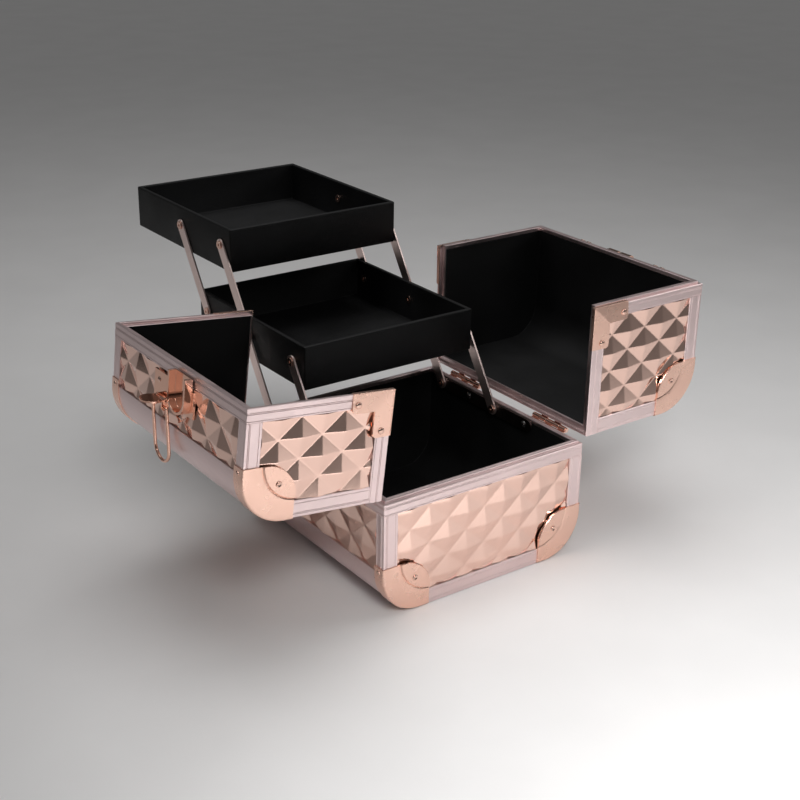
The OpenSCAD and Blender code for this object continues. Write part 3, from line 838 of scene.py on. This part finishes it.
def lid_rivets(side_name, place, body, wide):
    heads = []
    for sy in (-1, 1):
        out = (0, sy, 0)
        lens = (CAP_RIVET, sy * (HALF_D + CAP_T + LENS_RISE), LID_H - CAP_RIVET)
        heads.append(turned(EYELET, lens, out))
        for short, up in BRACKET_RIVETS:
            heads.append(turned(DOME, (wide - short, sy * (HALF_D + DOME_FOOT), up), out))
        wrap = (WRAP_RIVET_UP, sy * (HALF_D - WRAP_RIVET_IN), LID_H + CAP_T)
        heads.append(turned(SMALL_DOME, wrap, (0, 0, 1)))
    parts = [(points, faces, place) for points, faces in heads]
    piece(side_name + "_rivet_heads", parts, RIVET, body, side_name + "_rivets", "rivet", 50)


# ---------- trays and grip ----------

TRAY_WALL = 4.5
TRAY_FLOOR = 3.5


def tray_loops(low, top):
    """(inset, height, corner radius) from the underside up the outside, over the edge and down inside."""
    return [
        (1.1, low, 0.9),
        (0.35, low + 0.35, 1.4),
        (0.0, low + 1.1, 1.6),
        (0.0, top - 1.4, 1.6),
        (0.15, top - 0.6, 1.5),
        (0.6, top - 0.12, 1.2),
        (1.3, top, 0.9),
        (TRAY_WALL - 1.3, top, 0.8),
        (TRAY_WALL - 0.6, top - 0.12, 0.8),
        (TRAY_WALL - 0.15, top - 0.6, 0.8),
        (TRAY_WALL, top - 1.4, 0.8),
        (TRAY_WALL, low + TRAY_FLOOR + 1.0, 0.8),
        (TRAY_WALL + 0.3, low + TRAY_FLOOR + 0.3, 0.7),
        (TRAY_WALL + 1.0, low + TRAY_FLOOR, 0.6),
    ]


def tray(node, body):
    """A wrapped board tray with soft edges. Its walls are lofted from rounded rectangles."""
    lo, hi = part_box(node)
    lo, hi = lo / MM, hi / MM
    mid = ((lo.x + hi.x) / 2, (lo.y + hi.y) / 2)
    rows = []
    for inset, z, r in tray_loops(lo.z, hi.z):
        reach_x = (hi.x - lo.x) / 2 - inset - r
        reach_y = (hi.y - lo.y) / 2 - inset - r
        line = []
        for sx, sy, start in ((1, 1, 0), (-1, 1, 90), (-1, -1, 180), (1, -1, 270)):
            line += arc(mid[0] + sx * reach_x, mid[1] + sy * reach_y, r, start, start + 90, 5)
        rows.append([(x, y, z) for x, y in line])
    points, faces = lofted(rows)
    piece(node + "_wrapped", [(points, faces, BASE)], TRAY, body, node, "tray_wrap", 50)


def grip():
    """A crowned grip, lofted along Y and closed in to both ends."""
    lo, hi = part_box("handle_grip")
    mid = (lo + hi) / 2 / MM
    length = (hi.y - lo.y) / MM
    radius = (hi.x - lo.x) / 2 / MM
    around = 28
    stations = [0.0, 0.008, 0.02, 0.05, 0.12, 0.25, 0.4, 0.5, 0.6, 0.75, 0.88, 0.95, 0.98, 0.992, 1.0]
    turn = [2 * math.pi * k / around for k in range(around)]
    rows = []
    for s in stations:
        end = min(s, 1 - s) * length
        r = radius * (0.92 + 0.08 * math.sin(math.pi * s))
        r -= 1.2 * (1 - min(end / 2.0, 1.0)) ** 2
        y = lo.y / MM + s * length
        rows.append([(mid.x + r * math.cos(a), y, mid.z + r * math.sin(a)) for a in turn])
    points, faces = lofted(rows)
    piece("handle_grip_moulded", [(points, faces, BASE)], GRIP, "handle", "handle_grip", "grip", 45)


# ---------- everything ----------


def body_of_node(node):
    return next(b for b, nodes in frame["record"]["behaviour"]["bodies"].items() if node in nodes)


def refined_nodes():
    """Small metal parts, linings and boards: rounded copies of their CAD nodes, each with its material."""
    looks = [
        (0.5, LINING, "lining", ("base_lining", "left_lining", "right_lining")),
        (0.3, BOARD, "board", ("base_board", "left_board", "right_board")),
        (0.4, PROFILE_Y, "profile", ("base_edge_strips", "left_edge_strip", "right_edge_strip")),
        (0.5, PLAIN, "bottom_sheet", ("base_bottom_panel",)),
        (0.25, HINGE, "hinge_steel", ("base_hinge_leaves", "left_hinge_leaves", "right_hinge_leaves")),
        (0.3, DARK, "dark_steel", ("bracket_bars",)),
        (0.2, SCREW, "screw_steel", ("bracket_screws",)),
        (0.4, ARMS, "arm_steel", ("lower_rear_arms", "lower_front_arms")),
        (0.4, ARMS, "arm_steel", ("upper_rear_arms", "upper_front_arms")),
        (0.15, RIVET, "rivet", ("bracket_rivets", "lower_tray_rivets", "upper_tray_rivets")),
        (0.0, RIVET, "rivet", ("latch_rivets",)),
        (0.2, RIVET, "rivet", ("hinge_pins", "latch_pin", "handle_pins")),
        (0.35, LATCH, "latch_metal", ("latch_plate", "latch_housing", "latch_lever", "catch")),
        (0.0, LATCH, "latch_metal", ("latch_loop",)),
        (0.5, LATCH, "latch_metal", ("handle_brackets", "handle_frame")),
    ]
    for width, mat, slot, nodes in looks:
        for node in nodes:
            refined(node, width, mat, body_of_node(node), slot)


def camera():
    data = bpy.data.cameras.new("camera")
    data.sensor_width = 36
    data.lens = 1395.3755 * 36 / 800
    data.shift_x = 0.0143
    data.shift_y = 0.0021
    data.clip_start = 0.01
    data.clip_end = 50
    obj = bpy.data.objects.new("camera", data)
    bpy.context.scene.collection.objects.link(obj)
    yaw, pitch, roll = 0.62196777, -0.404433105, 0.0128666062
    ahead = Vector((math.sin(yaw) * math.cos(pitch), math.cos(yaw) * math.cos(pitch), math.sin(pitch)))
    level = Vector((math.cos(yaw), -math.sin(yaw), 0))
    up = level.cross(ahead)
    right = level * math.cos(roll) + up * math.sin(roll)
    up = -level * math.sin(roll) + up * math.cos(roll)
    turn = Matrix((right, up, -ahead)).transposed().to_4x4()
    obj.matrix_world = Matrix.Translation((-0.745365, -1.001025, 0.67779)) @ turn
    bpy.context.scene.camera = obj


def softbox(name, at, to, size, power, spread=180):
    data = bpy.data.lights.new(name, "AREA")
    data.shape = "RECTANGLE"
    data.size, data.size_y = size
    data.energy = power
    data.spread = math.radians(spread)
    obj = bpy.data.objects.new(name, data)
    obj.location = at
    obj.rotation_mode = "QUATERNION"
    obj.rotation_quaternion = (Vector(to) - Vector(at)).to_track_quat("-Z", "Y")
    obj.visible_camera = False
    bpy.context.scene.collection.objects.link(obj)


def studio():
    world = bpy.data.worlds.new("studio")
    world.use_nodes = True
    nodes = world.node_tree.nodes
    links = world.node_tree.links
    where = nodes.new("ShaderNodeTexCoord")
    split = nodes.new("ShaderNodeSeparateXYZ")
    links.new(where.outputs["Generated"], split.inputs["Vector"])
    shade = ramp(nodes, links, split.outputs["Z"], (0.015, 0.015, 0.015), (0.5, 0.5, 0.5), 0.1, 1.0)
    links.new(shade, nodes["Background"].inputs["Color"])
    nodes["Background"].inputs["Strength"].default_value = 0.6
    bpy.context.scene.world = world
    centre = (0, 0.05, 0.12)
    softbox("key", (-0.5, -1.15, 1.0), (0.0, -0.72, 0.0), (0.45, 0.45), 3.9, 66)
    softbox("fill", (1.3, -0.7, 1.0), centre, (0.6, 0.9), 1.3, 120)
    softbox("top", (0.1, 0.25, 1.7), centre, (1.1, 1.1), 6.5, 130)
    bpy.context.scene.view_settings.view_transform = "Standard"


def floor():
    mesh = bpy.data.meshes.new("floor")
    size = 6.0
    mesh.from_pydata(
        [(-size, -size, 0), (size, -size, 0), (size, size, 0), (-size, size, 0)], [], [(0, 1, 2, 3)]
    )
    mesh.materials.append(floor_material("floor"))
    obj = bpy.data.objects.new("floor", mesh)
    obj.location.z = -0.0004
    bpy.context.scene.collection.objects.link(obj)


base_sheets()
lid_sheets("left", LEFT, "lid_left", LEFT_W, LEFT_END_LATTICE, LEFT_WALL_LATTICE)
lid_sheets("right", RIGHT, "lid_right", RIGHT_W, RIGHT_END_LATTICE, RIGHT_WALL_LATTICE)
base_end_frames()
lid_end_frames("left", LEFT, "lid_left", LEFT_W)
lid_end_frames("right", RIGHT, "lid_right", RIGHT_W)
base_rim()
lid_rim("left", LEFT, "lid_left", LEFT_W, *LEFT_SEAM)
lid_rim("right", RIGHT, "lid_right", RIGHT_W, *RIGHT_SEAM)
corner_caps()
base_cap_rivets()
seam_brackets("left", LEFT, "lid_left", LEFT_W)
seam_brackets("right", RIGHT, "lid_right", RIGHT_W)
lid_rivets("left", LEFT, "lid_left", LEFT_W)
lid_rivets("right", RIGHT, "lid_right", RIGHT_W)
tray("lower_tray", "lower_tray")
tray("upper_tray", "upper_tray")
grip()
refined_nodes()
camera()
studio()
floor()

bpy.context.view_layer.update()
